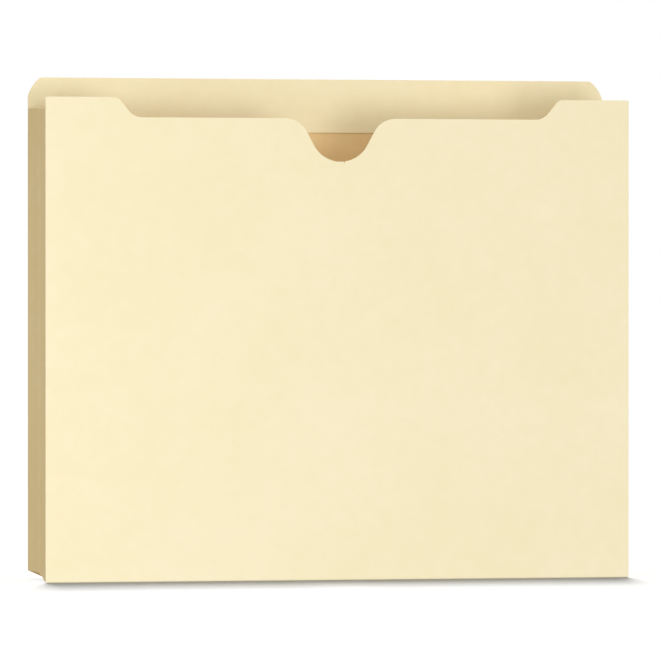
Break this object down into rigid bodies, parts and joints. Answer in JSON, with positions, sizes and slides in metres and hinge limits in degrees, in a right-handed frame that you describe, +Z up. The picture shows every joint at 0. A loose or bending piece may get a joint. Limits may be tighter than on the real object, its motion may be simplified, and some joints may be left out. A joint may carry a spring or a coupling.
{
  "type": "expanding file jacket",
  "caption": "Manila file jacket for letter paper with a full-width tab, a thumb cut in the undercut front, pleated side gussets and a scored bottom that fold flat.",
  "frame": {"origin": "on the floor, at the middle of the jacket's width and depth", "axes": "+Z up towards the tab, the front panel faces -Y, +X to the right of someone who looks at the front"},
  "size_m": [0.2986, 0.0528, 0.2521],
  "materials": {
    "panel_board": "matte",
    "gusset_board": "matte"
  },
  "bodies": {
    "back": {"back_panel": "panel_board", "tab_reinforcement": "panel_board", "left_rear_flap": "gusset_board", "right_rear_flap": "gusset_board"},
    "left_rear_leaf": {"left_gusset_rear_leaf": "gusset_board"},
    "left_front_leaf": {"left_gusset_front_leaf": "gusset_board"},
    "front": {"front_panel": "panel_board", "left_front_flap": "gusset_board", "right_front_flap": "gusset_board"},
    "right_rear_leaf": {"right_gusset_rear_leaf": "gusset_board"},
    "right_front_leaf": {"right_gusset_front_leaf": "gusset_board"},
    "bottom_rear": {"bottom_rear_half": "gusset_board"},
    "bottom_front": {"bottom_front_half": "gusset_board"}
  },
  "joints": [
    {"name": "left_rear_crease", "type": "hinge", "parent": "back", "child": "left_rear_leaf", "pos_m": [-0.1488, 0.0254, 0], "axis": [0, 0, 1], "range_deg": [0, 87]},
    {"name": "left_middle_crease", "type": "hinge", "parent": "left_rear_leaf", "child": "left_front_leaf", "pos_m": [-0.14836, 0, 0], "axis": [0, 0, 1], "range_deg": [-174, 0]},
    {"name": "left_front_crease", "type": "hinge", "parent": "left_front_leaf", "child": "front", "pos_m": [-0.1488, -0.0254, 0], "axis": [0, 0, 1], "range_deg": [0, 87]},
    {"name": "right_rear_crease", "type": "hinge", "parent": "back", "child": "right_rear_leaf", "pos_m": [0.1488, 0.0254, 0], "axis": [0, 0, -1], "range_deg": [0, 87]},
    {"name": "right_middle_crease", "type": "hinge", "parent": "right_rear_leaf", "child": "right_front_leaf", "pos_m": [0.14836, 0, 0], "axis": [0, 0, -1], "range_deg": [-174, 0]},
    {"name": "bottom_rear_crease", "type": "hinge", "parent": "back", "child": "bottom_rear", "pos_m": [0, 0.02575, 0], "axis": [1, 0, 0], "range_deg": [0, 88.75]},
    {"name": "bottom_middle_crease", "type": "hinge", "parent": "bottom_rear", "child": "bottom_front", "pos_m": [0, 0, 0.00045], "axis": [1, 0, 0], "range_deg": [-177.5, 0]}
  ],
  "couplings": [
    {"joint": "left_middle_crease", "follows": "left_rear_crease", "ratio": -2},
    {"joint": "left_front_crease", "follows": "left_rear_crease", "ratio": 1},
    {"joint": "right_rear_crease", "follows": "left_rear_crease", "ratio": 1},
    {"joint": "right_middle_crease", "follows": "left_rear_crease", "ratio": -2},
    {"joint": "bottom_rear_crease", "follows": "left_rear_crease", "ratio": 1.02},
    {"joint": "bottom_middle_crease", "follows": "left_rear_crease", "ratio": -2.04}
  ]
}
